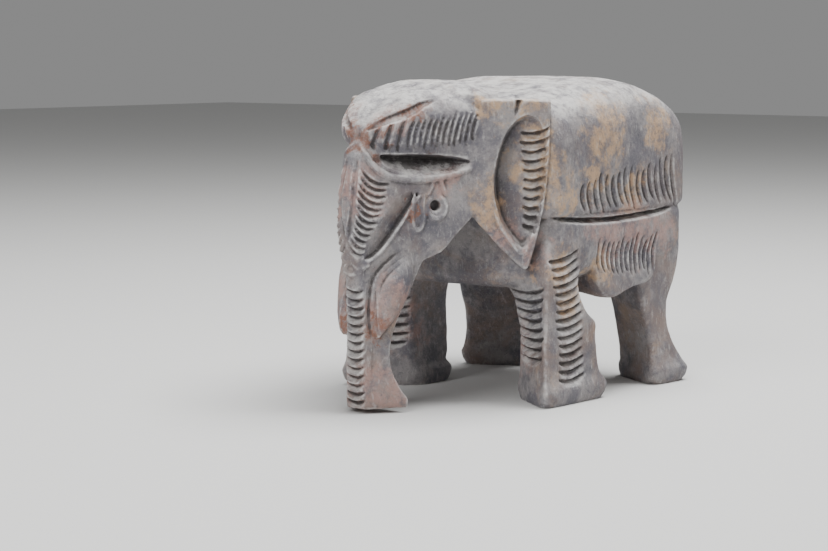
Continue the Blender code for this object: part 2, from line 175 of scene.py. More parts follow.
FORE_LEG = (
    (-2.0, (25.2, -14.2), (25.3, 6.6), (12.3, 5.8), (12.0, -4.8)),
    (0.2, (25.4, -14.4), (25.5, 6.9), (12.2, 6.1), (11.9, -5.0)),
    (1.2, (25.8, -14.8), (25.9, 7.3), (12.0, 6.4), (11.7, -5.1)),
    (2.8, (25.9, -14.8), (26.0, 7.3), (12.0, 6.3), (11.8, -5.2)),
    (3.5, (25.7, -14.5), (25.9, 6.7), (12.2, 5.7), (12.2, -5.4)),
    (4.6, (25.3, -14.0), (25.6, 5.5), (12.7, 4.7), (12.8, -5.7)),
    (6.0, (25.1, -13.7), (25.4, 4.6), (12.6, 5.2), (13.2, -6.0)),
    (12.0, (24.9, -13.5), (25.3, 3.4), (12.6, 5.0), (13.6, -6.3)),
    (15.0, (24.8, -13.3), (25.2, 3.6), (12.6, 4.8), (13.4, -6.6)),
    (17.2, (24.8, -13.1), (25.1, 0.6), (12.4, 4.6), (13.0, -7.0)),
    (20.5, (24.8, -12.9), (25.0, -1.6), (12.0, 4.8), (12.4, -7.6)),
    (24.0, (24.7, -12.6), (25.0, -2.2), (11.0, 5.6), (10.4, -8.6)),
    (28.0, (24.5, -12.0), (24.8, 0.0), (9.0, 6.6), (8.0, -9.6)),
    (33.0, (22.8, -10.0), (24.2, 2.0), (8.0, 7.0), (7.0, -9.2)),
)
HIND_LEG = (
    (-2.0, (24.6, 24.1), (25.2, 36.3), (12.0, 37.3), (10.6, 31.8)),
    (0.2, (24.8, 23.9), (25.4, 36.5), (11.9, 37.5), (10.5, 31.8)),
    (1.2, (25.1, 23.5), (25.9, 36.9), (11.6, 37.9), (10.2, 31.6)),
    (2.8, (25.2, 23.5), (26.0, 36.9), (11.7, 37.9), (10.3, 31.6)),
    (3.6, (24.9, 23.9), (25.6, 36.2), (12.2, 37.3), (10.9, 31.4)),
    (5.0, (24.5, 24.3), (25.1, 35.0), (12.5, 36.2), (11.3, 31.0)),
    (8.0, (24.1, 24.4), (24.4, 33.2), (12.8, 34.6), (11.6, 30.0)),
    (12.0, (23.8, 23.6), (23.8, 31.6), (12.8, 33.2), (11.8, 28.6)),
    (17.0, (23.6, 21.6), (23.9, 31.4), (12.4, 33.0), (11.6, 27.0)),
    (22.0, (23.6, 20.8), (24.4, 33.6), (11.4, 35.4), (10.6, 25.6)),
    (28.0, (23.6, 20.4), (24.0, 35.4), (9.0, 37.0), (9.0, 24.0)),
    (34.0, (23.6, 20.4), (23.4, 36.0), (7.0, 37.4), (8.0, 23.0)),
)


def ease(corners, radius, steps):
    """A closed outline whose corners are rounded by a short curve."""
    out = []
    for i, corner in enumerate(corners):
        here = Vector(corner)
        before = Vector(corners[i - 1]) - here
        after = Vector(corners[(i + 1) % len(corners)]) - here
        a = here + before.normalized() * min(radius, 0.45 * before.length)
        b = here + after.normalized() * min(radius, 0.45 * after.length)
        for k in range(steps + 1):
            t = k / steps
            out.append(tuple(a * (1 - t) ** 2 + here * 2 * t * (1 - t) + b * t * t))
    return out


for side in (LEFT, RIGHT):
    for name, table, radius in (("fore leg", FORE_LEG, 1.3), ("hind leg", HIND_LEG, 1.8)):
        rings = [[(x, y, row[0]) for x, y in ease(row[1:], radius + 0.6 * max(0.0, 4.5 - row[0]), 5)]
                 for row in table]
        hew(name, flow(rings, 3), side)


# Head, trunk and jaw
# The face is a wedge that runs down to a narrow nose band, and the trunk hangs straight from it to
# a flared foot just off the ground. Both are hewn flat, with the chisel's planes left on.

FACE = (
    (26.8, -39.9, 1.8, -33.0, 6.6),
    (28.3, -40.9, 2.0, -30.2, 8.6),
    (30.1, -41.7, 2.1, -26.4, 10.9),
    (33.0, -42.2, 2.3, -24.0, 12.2),
    (36.0, -42.3, 2.4, -21.4, 13.8),
    (40.0, -42.2, 2.3, -15.0, 14.6),
    (44.0, -41.5, 2.0, -13.0, 14.6),
    (48.0, -40.2, 1.8, -13.0, 14.6),
    (51.0, -38.7, 1.8, -13.0, 14.6),
    (54.0, -36.4, 2.2, -13.0, 14.6),
    (57.0, -33.4, 3.2, -13.0, 14.4),
    (59.4, -29.0, 4.4, -13.0, 13.6),
    (61.2, -23.0, 4.0, -14.0, 9.0),
    (62.0, -19.0, 2.0, -15.0, 4.0),
)
rings = []
for z, front, band, rear, cheek in FACE:
    knee = min(rear, -19.7) if rear > -21 else rear
    corners = ((band, front), (cheek, knee), (cheek * 0.98, rear), (-cheek * 0.98, rear),
               (-cheek, knee), (-band, front))
    if abs(knee - rear) < 0.5:
        corners = ((band, front), (cheek, rear - 0.6), (cheek * 0.9, rear), (-cheek * 0.9, rear),
                   (-cheek, rear - 0.6), (-band, front))
    rings.append([(x, y, z) for x, y in ease(corners, 0.6, 3)])
hew("head", flow(rings, 2))

TRUNK = (
    (0.9, -39.4, 2.2, 7.4, -32.7),
    (2.6, -39.9, 2.0, 7.7, -32.6),
    (4.6, -40.0, 1.85, 6.6, -33.6),
    (8.0, -40.0, 1.75, 5.5, -34.7),
    (12.0, -40.0, 1.75, 5.0, -34.9),
    (17.0, -40.0, 1.75, 5.6, -33.6),
    (22.0, -40.1, 1.8, 6.9, -31.8),
    (27.0, -40.3, 1.9, 8.4, -30.4),
    (31.0, -41.0, 2.0, 9.4, -28.6),
)
rings = []
for z, front, band, wide, rear in TRUNK:
    corners = ((band, front), (wide, rear), (-wide, rear), (-band, front))
    rings.append([(x, y, z) for x, y in ease(corners, 0.5, 3)])
hew("trunk", flow(rings, 3))


# Brows, ears, tusks, flaps and tail
# Lobes that stand a few millimetres proud of the head and flanks. Each is drawn on the flat face it
# was cut from, which looks out at an angle measured from the front towards the left.

FRONT = 0.0
SHIN = -33.0
EAR = 40.5
TUSK = 56.0
CHEEK = 59.2
FLANK = 90.0
REAR = 180.0


def outwards(angle):
    a = math.radians(angle)
    return Vector((math.sin(a), -math.cos(a), 0.0))


def sideways(angle):
    a = math.radians(angle)
    return Vector((math.cos(a), math.sin(a), 0.0))


def on_face(angle, depth, s, z):
    """Step position at sideways s and height z, at a distance depth from the centre line."""
    p = outwards(angle) * depth + sideways(angle) * s
    return (p.x, p.y, z)


brow = []
for s, low, high, stand in ((-32.6, 51.0, 53.6, 20.4), (-31.8, 49.9, 54.8, 21.8), (-29.6, 49.0, 56.6, 23.4),
                            (-26.4, 48.5, 58.6, 24.0), (-22.6, 48.3, 60.2, 24.2), (-18.0, 48.6, 60.4, 24.2),
                            (-13.0, 49.0, 59.8, 23.9), (-9.0, 50.0, 58.8, 23.0)):
    ring = []
    for k in range(40):
        a = 2 * math.pi * k / 40
        bulge = math.copysign(abs(math.cos(a)) ** 0.95, math.cos(a))
        lift = math.copysign(abs(math.sin(a)) ** (1.0 if math.sin(a) > 0 else 0.8), math.sin(a))
        reach = max(stand - 7.0 + 7.0 * bulge, 0.595 * abs(s))
        ring.append(on_face(CHEEK, reach, s, (low + high) / 2 + (high - low) / 2 * lift))
    brow.append(ring)

EAR_OUTLINE = ((-2.2, 58.5), (1.0, 58.6), (2.4, 58.5), (3.6, 58.6), (11.2, 58.5), (11.0, 50.0),
               (10.7, 44.0), (9.9, 38.0), (8.6, 32.0), (7.2, 27.0), (6.5, 26.2), (5.6, 26.8),
               (1.4, 30.8), (-3.0, 35.8), (-3.4, 37.0), (-2.6, 48.0))
ear = []
for depth, spread in ((-6.0, 0.0), (-0.5, 0.0), (0.0, 0.35)):
    ear.append([on_face(EAR, 25.05 + depth, s + (4.5 - s) / 7.0 * spread, z + (44.0 - z) / 16.0 * spread)
                for s, z in ease(EAR_OUTLINE, 0.7, 2)])

EAR_HOLLOW = ((8.4, 55.2), (6.6, 55.8), (4.6, 54.8), (2.8, 52.4), (1.2, 48.4), (0.4, 44.0),
              (0.6, 39.6), (2.0, 35.0), (4.4, 31.6), (6.0, 30.0), (7.2, 31.6), (8.4, 35.4),
              (9.4, 40.0), (10.0, 45.0), (10.2, 50.0), (9.6, 53.6))
scoop = []
for lift, inset in ((0.5, -0.04), (0.0, 0.0), (-0.6, 0.05), (-1.0, 0.14)):
    ring = []
    for s, z in ease(EAR_HOLLOW, 1.4, 3):
        deep = 1.0 + 3.6 * max(0.0, (10.2 - s) / 9.8)
        drop = lift if lift >= 0 else lift * deep
        ring.append(on_face(EAR, 25.05 + drop, s + (5.6 - s) * inset, z + (43.5 - z) * inset * 0.6))
    scoop.append(ring)

tusk = []
for s, z, half, stand in ((-23.6, 29.6, 0.3, 24.2), (-24.2, 28.0, 2.0, 25.4), (-25.2, 25.2, 3.2, 26.0),
                          (-26.2, 21.6, 3.3, 26.2), (-27.2, 18.4, 2.5, 26.1), (-28.2, 16.0, 1.5, 25.7),
                          (-28.9, 14.3, 0.35, 25.0)):
    ring = []
    for k in range(24):
        a = 2 * math.pi * k / 24
        reach = stand - 2.4 + 2.4 * math.sin(a)
        ring.append(on_face(TUSK, reach, s + half * math.cos(a), z + 0.35 * half * math.cos(a)))
    tusk.append(ring)

FLAP = ((2.6, 34.0), (2.4, 31.0), (3.4, 28.2), (4.0, 25.2), (5.0, 21.6), (7.2, 19.4), (10.0, 19.1),
        (14.5, 20.3), (19.0, 21.0), (23.0, 21.4), (25.2, 23.6), (25.8, 28.0), (25.4, 34.0))
flap = []
for x, inset in ((14.0, 0.10), (22.0, 0.0), (24.5, 0.0), (25.2, 0.07)):
    flap.append([(x - 0.06 * (z - 20.0), y + (14.5 - y) * inset, z + (29.0 - z) * inset)
                 for y, z in ease(FLAP, 1.6, 3)])

for side in (LEFT, RIGHT):
    hew("brow", flow(brow, 4), side)
    hew("ear", ear, side)
    hew("ear hollow", scoop, side, hollows)
    hew("tusk", flow(tusk, 4), side)
    hew("flap", flap, side)

tail = []
for z, half, stand in ((55.0, 0.4, 34.6), (52.5, 1.3, 37.4), (47.0, 1.2, 39.3), (40.0, 1.0, 39.5),
                       (33.0, 0.9, 39.0), (30.5, 1.6, 38.6), (27.0, 1.9, 38.2), (24.0, 0.5, 37.0)):
    tail.append([(half * math.cos(math.pi * k / 8), stand - 2.2 + 1.6 * math.sin(math.pi * k / 8), z)
                 for k in range(16)])
hew("tail", flow(tail, 3))
hew("ground", [[(x, y, z) for x, y in ((-40, -60), (40, -60), (40, 60), (-40, 60))] for z in (-6.0, 0.0)],
    shelf=hollows)


def settle(ob):
    """Turns an object's modifiers into its mesh."""
    mesh = bpy.data.meshes.new_from_object(ob.evaluated_get(bpy.context.evaluated_depsgraph_get()))
    ob.modifiers.clear()
    ob.data = mesh


def carve(ob, shelf, operation):
    """One exact Boolean of an object with everything on a shelf."""
    change = ob.modifiers.new(shelf.name, "BOOLEAN")
    change.operation = operation
    change.solver = "EXACT"
    change.operand_type = "COLLECTION"
    change.collection = shelf


def fuse(ob, voxel, rounds):
    """Makes one even skin of all that overlaps, and eases its edges."""
    skin = ob.modifiers.new("fused", "REMESH")
    skin.mode = "VOXEL"
    skin.voxel_size = voxel
    eased = ob.modifiers.new("eased", "SMOOTH")
    eased.factor = 0.5
    eased.iterations = rounds
    settle(ob)


def thin(ob, triangles):
    """Thins a skin of quads to a number of triangles."""
    fewer = ob.modifiers.new("thinned", "DECIMATE")
    fewer.ratio = min(1.0, triangles / (2 * len(ob.data.polygons)))
    settle(ob)


ROUGH_VOXEL = 0.0003
ROUGH_TRIANGLES = 60000
carve(elephant, masses, "UNION")
settle(elephant)
fuse(elephant, ROUGH_VOXEL, 1)
thin(elephant, ROUGH_TRIANGLES)
carve(elephant, hollows, "DIFFERENCE")
settle(elephant)
skin_tree = BVHTree.FromObject(elephant, bpy.context.evaluated_depsgraph_get())


# Chisel cuts
# Rows of crescent notches and strokes cut with the corner of a flat chisel. Each cut is a V that is
# deepest in the middle and steep on one side, so the next scale overlaps it like a shingle.

def node(tree, kind, **settings):
    made = tree.nodes.new(kind)
    for name, value in settings.items():
        setattr(made, name, value)
    return made


def link(tree, source, target):
    tree.links.new(source, target)


def sum_of(tree, operation, first, second, kind="ShaderNodeVectorMath"):
    """A maths node on two sockets or plain values; gives back its result socket."""
    made = node(tree, kind, operation=operation)
    by_scale = operation == "SCALE"
    for socket, value in ((made.inputs[0], first), (made.inputs["Scale" if by_scale else 1], second)):
        if isinstance(value, bpy.types.NodeSocket):
            link(tree, value, socket)
        else:
            socket.default_value = value
    return made.outputs[0]


def number(tree, operation, first, second):
    return sum_of(tree, operation, first, second, "ShaderNodeMath")


def new_tree(name, sockets):
    tree = bpy.data.node_groups.new(name, "GeometryNodeTree")
    for label, kind in sockets:
        tree.interface.new_socket(label, in_out="INPUT", socket_type="NodeSocket" + kind)
    tree.interface.new_socket("Stone work", in_out="OUTPUT", socket_type="NodeSocketGeometry")
    given = {socket.name: socket for socket in node(tree, "NodeGroupInput").outputs}
    return tree, given, node(tree, "NodeGroupOutput").inputs[0]


LOOK_FROM = 0.006
LOOK_FOR = 0.0085


def drop_on_skin(tree, given, target):
    """Where a point lands on the carved skin, looking at it along the face's outward direction."""
    skin = node(tree, "GeometryNodeObjectInfo", transform_space="ORIGINAL")
    link(tree, given["Skin"], skin.inputs["Object"])
    away = sum_of(tree, "SCALE", given["Looks out"], LOOK_FROM)
    back_in = sum_of(tree, "SCALE", given["Looks out"], -1.0)
    ray = node(tree, "GeometryNodeRaycast")
    link(tree, skin.outputs["Geometry"], ray.inputs["Target Geometry"])
    link(tree, sum_of(tree, "ADD", target, away), ray.inputs["Source Position"])
    link(tree, back_in, ray.inputs["Ray Direction"])
    ray.inputs["Ray Length"].default_value = LOOK_FOR
    nearest = node(tree, "GeometryNodeProximity", target_element="FACES")
    link(tree, skin.outputs["Geometry"], nearest.inputs["Geometry"])
    link(tree, target, nearest.inputs["Sample Position"])
    pick = node(tree, "GeometryNodeSwitch", input_type="VECTOR")
    link(tree, ray.outputs["Is Hit"], pick.inputs["Switch"])
    link(tree, nearest.outputs["Position"], pick.inputs["False"])
    link(tree, ray.outputs["Hit Position"], pick.inputs["True"])
    return pick.outputs[0]


CUT_SHOULDER = 0.00016
CUT_OPEN_TOP = 0.0014


def vee_section(tree, given):
    """Section of a cut: a V below the skin, open above it, between side A and side B."""
    section = node(tree, "GeometryNodeCurvePrimitiveCircle")
    section.inputs["Resolution"].default_value = 5
    corner = node(tree, "GeometryNodeIndexSwitch", data_type="VECTOR")
    while len(corner.index_switch_items) < 5:
        corner.index_switch_items.new()
    link(tree, node(tree, "GeometryNodeInputIndex").outputs[0], corner.inputs["Index"])
    for i, (height, side) in enumerate(
            ((CUT_OPEN_TOP, "Side A"), (CUT_SHOULDER, "Side A"), (0.0, None),
             (CUT_SHOULDER, "Side B"), (CUT_OPEN_TOP, "Side B"))):
        spot = node(tree, "ShaderNodeCombineXYZ")
        if side is None:
            link(tree, number(tree, "MULTIPLY", given["Depth"], -1.0), spot.inputs["X"])
        else:
            spot.inputs["X"].default_value = height
            link(tree, given[side], spot.inputs["Y"])
        link(tree, spot.outputs[0], corner.inputs[str(i)])
    vee = node(tree, "GeometryNodeSetPosition")
    link(tree, section.outputs[0], vee.inputs["Geometry"])
    link(tree, corner.outputs[0], vee.inputs["Position"])
    return vee.outputs[0]


def sweep(tree, given, curve, section, radius, result):
    """Runs a closed section along curves that lie on the skin, and finishes the tree."""
    facing = node(tree, "GeometryNodeSetCurveNormal", mode="FREE")
    link(tree, curve, facing.inputs["Curve"])
    link(tree, given["Looks out"], facing.inputs["Normal"])
    swept = node(tree, "GeometryNodeCurveToMesh")
    link(tree, facing.outputs[0], swept.inputs["Curve"])
    link(tree, section, swept.inputs["Profile Curve"])
    link(tree, radius, swept.inputs["Scale"])
    swept.inputs["Fill Caps"].default_value = True
    made_real = node(tree, "GeometryNodeRealizeInstances")
    link(tree, swept.outputs[0], made_real.inputs[0])
    stone = node(tree, "GeometryNodeSetMaterial")
    link(tree, made_real.outputs[0], stone.inputs["Geometry"])
    link(tree, given["Stone"], stone.inputs["Material"])
    link(tree, stone.outputs[0], result)


def chisel_tree():
    tree, given, result = new_tree("chisel cuts", (
        ("Row line", "Geometry"), ("Cuts", "Int"), ("First reach", "Vector"), ("Last reach", "Vector"),
        ("Bow", "Vector"), ("Depth", "Float"), ("Side A", "Float"), ("Side B", "Float"),
        ("Looks out", "Vector"), ("Unevenness", "Float"), ("Seed", "Int"), ("Skin", "Object"),
        ("Stone", "Material")))
    row = node(tree, "GeometryNodeMeshToCurve")
    link(tree, given["Row line"], row.inputs[0])
    seats = node(tree, "GeometryNodeResampleCurve", mode="COUNT")
    link(tree, row.outputs[0], seats.inputs["Curve"])
    link(tree, given["Cuts"], seats.inputs["Count"])
    along = node(tree, "GeometryNodeSplineParameter")
    luck = node(tree, "FunctionNodeRandomValue", data_type="FLOAT_VECTOR")
    luck.inputs["Min"].default_value = (-1, -1, -1)
    luck.inputs["Max"].default_value = (1, 1, 1)
    link(tree, given["Seed"], luck.inputs["Seed"])
    kept = node(tree, "GeometryNodeCaptureAttribute", domain="POINT")
    for kind, label in (("FLOAT", "row place"), ("VECTOR", "seat"), ("VECTOR", "luck")):
        kept.capture_items.new(kind, label)
    link(tree, seats.outputs[0], kept.inputs["Geometry"])
    link(tree, along.outputs["Factor"], kept.inputs["row place"])
    link(tree, node(tree, "GeometryNodeInputPosition").outputs[0], kept.inputs["seat"])
    link(tree, luck.outputs["Value"], kept.inputs["luck"])

    stroke = node(tree, "GeometryNodeCurvePrimitiveLine")
    stroke.inputs["Start"].default_value = (-1, 0, 0)
    stroke.inputs["End"].default_value = (1, 0, 0)
    fine = node(tree, "GeometryNodeResampleCurve", mode="COUNT")
    fine.inputs["Count"].default_value = 11
    link(tree, stroke.outputs[0], fine.inputs["Curve"])
    across = node(tree, "GeometryNodeCaptureAttribute", domain="POINT")
    across.capture_items.new("FLOAT", "across")
    apart = node(tree, "ShaderNodeSeparateXYZ")
    link(tree, node(tree, "GeometryNodeInputPosition").outputs[0], apart.inputs[0])
    link(tree, fine.outputs[0], across.inputs["Geometry"])
    link(tree, apart.outputs["X"], across.inputs["across"])
    across_t = across.outputs["across"]

    laid = node(tree, "GeometryNodeInstanceOnPoints")
    link(tree, kept.outputs["Geometry"], laid.inputs["Points"])
    link(tree, across.outputs["Geometry"], laid.inputs["Instance"])
    real = node(tree, "GeometryNodeRealizeInstances")
    link(tree, laid.outputs[0], real.inputs[0])

    lucks = node(tree, "ShaderNodeSeparateXYZ")
    link(tree, kept.outputs["luck"], lucks.inputs[0])
    longer = number(tree, "MULTIPLY_ADD", lucks.outputs["X"], given["Unevenness"])
    longer.node.inputs[2].default_value = 1.0
    change = sum_of(tree, "SUBTRACT", given["Last reach"], given["First reach"])
    change_here = sum_of(tree, "SCALE", change, kept.outputs["row place"])
    reach = sum_of(tree, "ADD", given["First reach"], change_here)
    sideslip = number(tree, "MULTIPLY", lucks.outputs["Y"], given["Unevenness"])
    shift = number(tree, "MULTIPLY_ADD", sideslip, 0.5)
    link(tree, across_t, shift.node.inputs[2])
    offset = sum_of(tree, "SCALE", sum_of(tree, "SCALE", reach, longer), shift)
    from_middle = number(tree, "ABSOLUTE", across_t, 0.0)
    bowed = sum_of(tree, "SCALE", given["Bow"], number(tree, "POWER", from_middle, 2.0))
    target = sum_of(tree, "ADD", sum_of(tree, "ADD", kept.outputs["seat"], offset), bowed)
    moved = node(tree, "GeometryNodeSetPosition")
    link(tree, real.outputs[0], moved.inputs["Geometry"])
    link(tree, drop_on_skin(tree, given, target), moved.inputs["Position"])

    taper = number(tree, "SUBTRACT", 1.0, number(tree, "POWER", from_middle, 2.4))
    taper = number(tree, "POWER", number(tree, "MAXIMUM", taper, 0.0), 0.6)
    force = number(tree, "MULTIPLY", given["Unevenness"], 0.8)
    strength = number(tree, "MULTIPLY_ADD", lucks.outputs["Z"], force)
    strength.node.inputs[2].default_value = 1.0
    radius = number(tree, "ADD", number(tree, "MULTIPLY", taper, strength), 0.04)
    sweep(tree, given, moved.outputs[0], vee_section(tree, given), radius, result)
    return tree


def path_tree(name, ridge):
    """One long cut, or one raised ridge, that follows a path drawn on the skin."""
    widths = (("Thickness", "Float"),)
    if not ridge:
        widths = (("Depth", "Float"), ("Side A", "Float"), ("Side B", "Float"))
    tree, given, result = new_tree(name, (
        ("Path", "Geometry"), ("Points", "Int"), *widths, ("Fullness", "Float"),
        ("Looks out", "Vector"), ("Skin", "Object"), ("Stone", "Material")))
    drawn = node(tree, "GeometryNodeMeshToCurve")
    link(tree, given["Path"], drawn.inputs[0])
    curved = node(tree, "GeometryNodeCurveSplineType", spline_type="CATMULL_ROM")
    link(tree, drawn.outputs[0], curved.inputs["Curve"])
    fine = node(tree, "GeometryNodeResampleCurve", mode="COUNT")
    link(tree, curved.outputs[0], fine.inputs["Curve"])
    link(tree, given["Points"], fine.inputs["Count"])
    moved = node(tree, "GeometryNodeSetPosition")
    link(tree, fine.outputs[0], moved.inputs["Geometry"])
    here = node(tree, "GeometryNodeInputPosition").outputs[0]
    link(tree, drop_on_skin(tree, given, here), moved.inputs["Position"])
    along = number(tree, "MULTIPLY_ADD", node(tree, "GeometryNodeSplineParameter").outputs["Factor"], 2.0)
    along.node.inputs[2].default_value = -1.0
    taper = number(tree, "POWER", number(tree, "ABSOLUTE", along, 0.0), given["Fullness"])
    taper = number(tree, "MAXIMUM", number(tree, "SUBTRACT", 1.0, taper), 0.0)
    radius = number(tree, "ADD", number(tree, "POWER", taper, 0.6), 0.04)
    if ridge:
        round_section = node(tree, "GeometryNodeCurvePrimitiveCircle")
        round_section.inputs["Resolution"].default_value = 12
        link(tree, given["Thickness"], round_section.inputs["Radius"])
        section = round_section.outputs[0]
    else:
        section = vee_section(tree, given)
    sweep(tree, given, moved.outputs[0], section, radius, result)
    return tree


CHISEL = chisel_tree()
LONG_CUT = path_tree("long cut", False)
RIDGE = path_tree("raised ridge", True)


def set_inputs(change, values):
    """Sets a modifier's inputs by their socket identifiers."""
    for item in change.node_group.interface.items_tree:
        if item.item_type == "SOCKET" and item.in_out == "INPUT" and item.name in values:
            change[item.identifier] = values[item.name]


USUAL_DEPTH = 22.0


def skin_depth(angle, s, z):
    """How far out the skin lies on a face, in steps; the shin is looked at from between the legs."""
    far = outwards(angle) * (12.0 if angle == SHIN else 70.0) + sideways(angle) * s
    start = place(far.x, far.y, z)
    ray = (place(0, 0, z) - place(outwards(angle).x, outwards(angle).y, z)).normalized()
    hit = skin_tree.ray_cast(start, ray)[0]
    if hit is None:
        hit = skin_tree.find_nearest(place(*on_face(angle, USUAL_DEPTH, s, z)))[0]
    spot = Vector((hit.x / STEP_X, (hit.y - MIDDLE_Y) / STEP_Y, 0))
    return spot.dot(outwards(angle))


def line_on_skin(name, angle, line, side):
    """A thin line of points drawn on the skin of a face, as a start for cuts or ridges."""
    spots = []
    for s, z in line:
        x, y, z = on_face(angle, skin_depth(angle, s, z), s, z)
        spots.append(place(side * x, y, z))
    mesh = bpy.data.meshes.new(name)
    mesh.from_pydata(spots, [(i, i + 1) for i in range(len(spots) - 1)], [])
    return bpy.data.objects.new(name, mesh)


def step_vector(angle, s, z, side):
    """A move of s sideways and z up on a face, in metres."""
    p = sideways(angle) * s
    return Vector((side * p.x * STEP_X, p.y * STEP_Y, z * STEP_Z))


def run_tree(ob, tree, values, shelf):
    """Runs a tree on a line, keeps the plain mesh and points its faces outwards."""
    shelf.objects.link(ob)
    change = ob.modifiers.new(tree.name, "NODES")
    change.node_group = tree
    set_inputs(change, values)
    settle(ob)
    tidy = bmesh.new()
    tidy.from_mesh(ob.data)
    bmesh.ops.triangulate(tidy, faces=tidy.faces)
    bmesh.ops.recalc_face_normals(tidy, faces=tidy.faces)
    tidy.to_mesh(ob.data)
    tidy.free()


def cut_row(name, angle, line, cuts, first, last, bow, depth, steep, slope, unevenness,
            sides=(LEFT, RIGHT)):
    """One row of cuts, left and right; first and last are half cuts as (s, z) moves."""
    for side in sides:
        out = outwards(angle)
        out.x *= side
        ob = line_on_skin(name, angle, line, side)
        run_tree(ob, CHISEL, {
            "Cuts": cuts,
            "First reach": step_vector(angle, first[0], first[1], side),
            "Last reach": step_vector(angle, last[0], last[1], side),
            "Bow": step_vector(angle, bow[0], bow[1], side),
            "Depth": depth * STEP_Z,
            "Side A": side * slope * STEP_Z,
            "Side B": -side * steep * STEP_Z,
            "Looks out": out,
            "Unevenness": unevenness,
            "Seed": 11 + len(blades.objects),
            "Skin": elephant,
        }, blades)


def long_cut(name, angle, line, points, depth, steep, slope, fullness=3.0):
    """A cut along a path, left and right; the steep side is on the left hand of the path."""
    for side in (LEFT, RIGHT):
        out = outwards(angle)
        out.x *= side
        run_tree(line_on_skin(name, angle, line, side), LONG_CUT, {
            "Points": points, "Depth": depth * STEP_Z, "Side A": side * slope * STEP_Z,
            "Side B": -side * steep * STEP_Z, "Fullness": fullness, "Looks out": out, "Skin": elephant,
        }, blades)


cut_row("trunk rings", FRONT, ((0.0, 22.9), (0.0, 2.1)), 14, (2.3, 0.0), (2.4, 0.0), (0.0, 0.8),
        1.45, 0.3, 1.2, 0.05, (LEFT,))
cut_row("outer leg notches", FLANK, ((-7.1, 28.2), (-6.5, 24.0), (-5.7, 18.0), (-5.2, 12.0),
                                     (-5.0, 4.8)), 15,
        (4.6, 0.9), (4.4, 0.3), (0.0, 0.9), 1.35, 0.3, 1.25, 0.07)
cut_row("front leg notches", SHIN, ((20.4, 21.4), (21.0, 8.6)), 8, (6.6, 0.6), (6.2, 0.4), (0.0, 1.0),
        1.7, 0.4, 1.35, 0.06)
cut_row("ear notches", EAR, ((8.3, 52.2), (8.2, 44.0), (7.6, 34.4)), 11, (3.1, 0.6), (1.5, 0.2), (0.0, 0.9),
        1.6, 0.3, 1.35, 0.07)
cut_row("face notches", CHEEK, ((-30.9, 43.6), (-32.7, 37.2), (-34.5, 30.4)), 12, (3.0, -1.5), (2.0, -1.2),
        (0.3, 1.3), 1.3, 0.2, 1.0, 0.07)
cut_row("flank strokes", FLANK, ((-1.4, 39.6), (8.0, 40.2), (18.0, 40.8), (30.4, 41.8)), 16, (0.8, -3.4),
        (1.2, -5.2), (1.0, 0.0), 0.85, 0.5, 1.35, 0.22)
cut_row("flap strokes", FLANK, ((4.4, 27.4), (14.0, 26.8), (23.8, 27.2)), 13, (0.2, -3.7), (-0.7, -4.1),
        (0.8, 0.0), 0.85, 0.45, 1.1, 0.2)
cut_row("front fringe", CHEEK, ((-30.6, 51.4), (-26.0, 51.8)), 3, (-0.4, -2.7), (-0.4, -3.2), (0.7, 0.0),
        0.95, 0.4, 1.3, 0.12)
cut_row("brow fringe", CHEEK, ((-24.2, 52.2), (-18.0, 52.6), (-11.2, 53.2)), 12, (-0.5, -3.4), (-0.6, -3.5),
        (0.8, 0.0), 0.85, 0.2, 0.9, 0.14)
long_cut("flank slot", FLANK, ((-10.9, 36.2), (-6.0, 35.8), (0.0, 35.3), (8.0, 35.0), (17.0, 35.2),
                               (25.0, 35.6), (31.4, 36.3)), 40, 2.8, 0.35, 1.0, 4.0)
long_cut("eye slot", CHEEK, ((-29.9, 48.4), (-27.0, 48.0), (-23.0, 47.8), (-18.0, 47.5), (-14.5, 47.3),
                             (-11.4, 46.9)), 30, 4.6, 0.7, 2.9, 2.6)
long_cut("brow crease", CHEEK, ((-32.4, 52.8), (-30.6, 54.3), (-27.8, 55.6), (-24.5, 56.8), (-22.0, 57.9),
                                (-18.6, 58.8)), 30, 0.8, 0.25, 1.3, 1.6)
long_cut("nose groove", CHEEK, ((-34.0, 48.0), (-35.0, 43.0), (-35.6, 37.0), (-36.3, 32.1)), 24,
         0.9, 0.7, 0.7, 4.0)
long_cut("face panel", CHEEK, ((-22.0, 41.3), (-24.4, 38.0), (-26.6, 34.8), (-29.0, 31.7), (-31.2, 29.6),
                               (-33.2, 28.9)), 24, 1.9, 0.2, 3.8, 3.4)
long_cut("tusk groove", TUSK, ((-24.2, 30.6), (-27.2, 28.4), (-29.5, 25.4), (-30.2, 21.4), (-30.3, 17.6),
                               (-29.9, 13.8)), 30, 0.8, 0.2, 1.2)
long_cut("tail side", REAR, ((1.3, 25.0), (1.9, 27.5), (1.7, 30.5), (1.1, 33.0), (1.2, 42.0),
                             (1.3, 50.0), (0.7, 55.0)), 40, 1.3, 0.2, 2.2, 3.0)
cut_row("tail hair", REAR, ((-0.8, 27.4), (0.8, 27.4)), 3, (0.0, -1.8), (0.0, -1.8), (0.0, 0.0),
        0.5, 0.2, 0.4, 0.1, (LEFT,))
long_cut("ear nick", EAR, ((5.3, 59.4), (5.1, 58.0), (4.7, 56.4), (4.2, 54.8)), 12, 1.9, 1.0, 1.0, 2.0)

